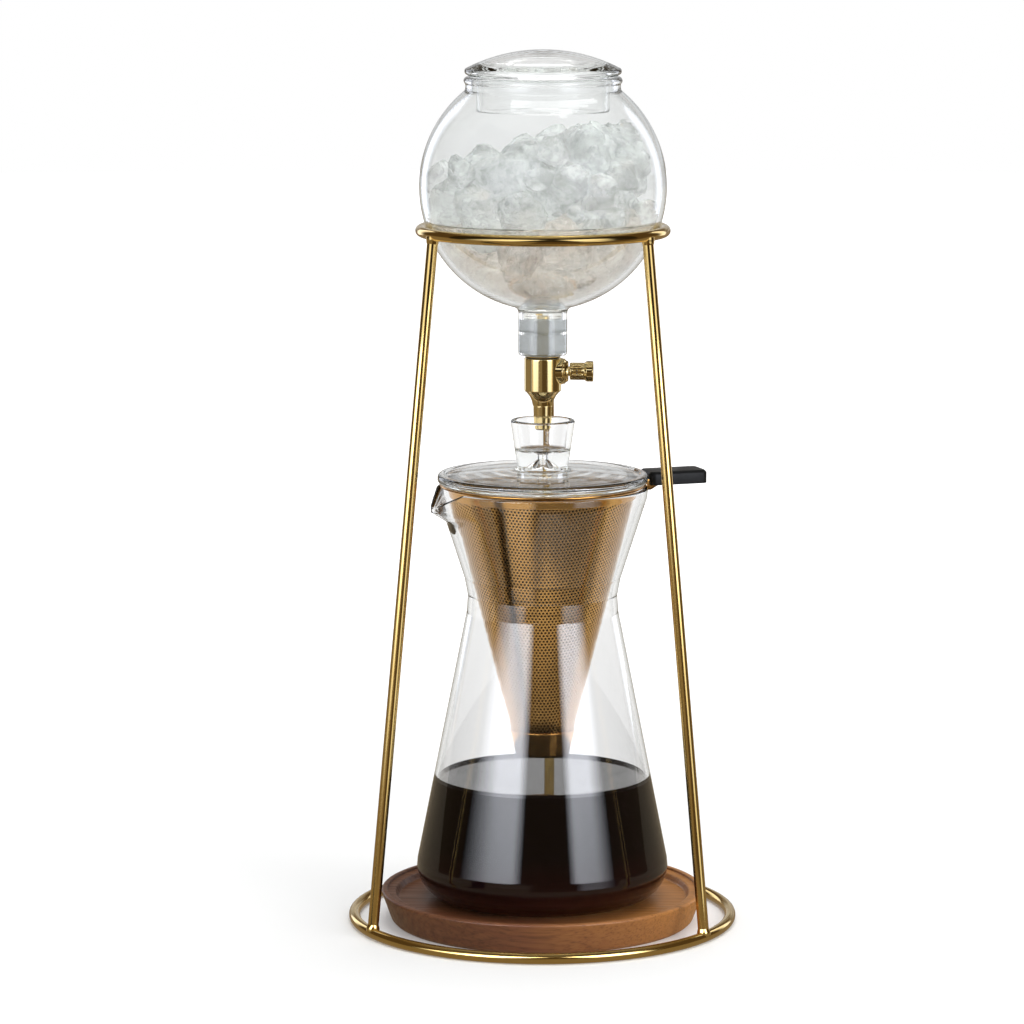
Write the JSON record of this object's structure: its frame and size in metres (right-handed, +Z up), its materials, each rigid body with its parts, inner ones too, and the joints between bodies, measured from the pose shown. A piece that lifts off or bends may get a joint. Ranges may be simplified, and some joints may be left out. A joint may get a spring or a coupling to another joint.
{
  "type": "cold drip coffee tower",
  "caption": "Cold drip coffee tower: glass globe with brass needle valve on a wire stand, drip cup lid, gold filter cone and waisted glass carafe on a wooden tray.",
  "frame": {"origin": "on the table, under the centre of the stand", "axes": "+Z up; +X along the needle valve's screw towards its knob; +Y towards the rear leg"},
  "size_m": [0.154, 0.1548, 0.345],
  "materials": {
    "wood": "oiled, satin",
    "plated_wire": "polished brass plating over steel wire",
    "turned_brass": "turned and polished",
    "gold_steel": "gold coated, satin",
    "clear_glass": "clear, fire polished",
    "silicone": "translucent, matte",
    "black_rubber": "matte",
    "black_plastic": "fine texture",
    "steel": "plain"
  },
  "bodies": {
    "tray": {"wooden_tray": "wood"},
    "stand": {"stand_base_ring": "plated_wire", "stand_top_ring": "plated_wire", "stand_leg_front_left": "plated_wire", "stand_leg_front_right": "plated_wire", "stand_leg_rear": "plated_wire", "stand_welds_base": "plated_wire", "stand_welds_top": "plated_wire"},
    "globe": {"globe": "clear_glass", "outlet_bung": "silicone", "inlet_stem": "turned_brass", "flange_seal": "black_rubber", "valve_body": "turned_brass", "drip_nozzle": "turned_brass", "packing_gland": "turned_brass"},
    "globe_lid": {"globe_lid": "clear_glass"},
    "stem_seal": {"stem_o_ring": "black_rubber"},
    "needle": {"valve_needle": "turned_brass", "valve_knob": "turned_brass", "knob_pin": "steel"},
    "carafe": {"carafe": "clear_glass"},
    "filter": {"filter_rim": "gold_steel", "filter_outer_cone": "gold_steel", "filter_inner_cone": "gold_steel", "filter_bottom_cap": "gold_steel", "handle_bracket": "gold_steel", "handle_grip": "black_plastic", "grip_screws": "steel"},
    "carafe_lid": {"carafe_lid": "clear_glass"}
  },
  "joints": [
    {"name": "stand_lift", "type": "slide", "parent": "tray", "child": "stand", "axis": [0, 0, 1], "range_m": [0, 0.34]},
    {"name": "globe_lift", "type": "slide", "parent": "stand", "child": "globe", "axis": [0, 0, 1], "range_m": [0, 0.14]},
    {"name": "globe_lid_lift", "type": "slide", "parent": "globe", "child": "globe_lid", "axis": [0, 0, 1], "range_m": [0, 0.05]},
    {"name": "needle_travel", "type": "slide", "parent": "globe", "child": "stem_seal", "axis": [1, 0, 0], "range_m": [0, 0.0012]},
    {"name": "needle_turn", "type": "hinge", "parent": "stem_seal", "child": "needle", "pos_m": [0, 0, 0.2195], "axis": [1, 0, 0], "range_deg": [0, 720]},
    {"name": "carafe_draw", "type": "slide", "parent": "tray", "child": "carafe", "axis": [0.8438, 0.4872, 0.225], "range_m": [0, 0.15]},
    {"name": "filter_lift", "type": "slide", "parent": "carafe", "child": "filter", "axis": [0, 0, 1], "range_m": [0, 0.11]},
    {"name": "carafe_lid_lift", "type": "slide", "parent": "filter", "child": "carafe_lid", "axis": [0, 0, 1], "range_m": [0, 0.025]}
  ],
  "couplings": [
    {"joint": "needle_turn", "follows": "needle_travel", "rad_per_m": 10472},
    {"joint": "carafe_draw", "follows": "globe_lift", "ratio": 1.07},
    {"joint": "filter_lift", "follows": "stand_lift", "ratio": 0.3235},
    {"joint": "carafe_lid_lift", "follows": "stand_lift", "ratio": 0.0735}
  ]
}
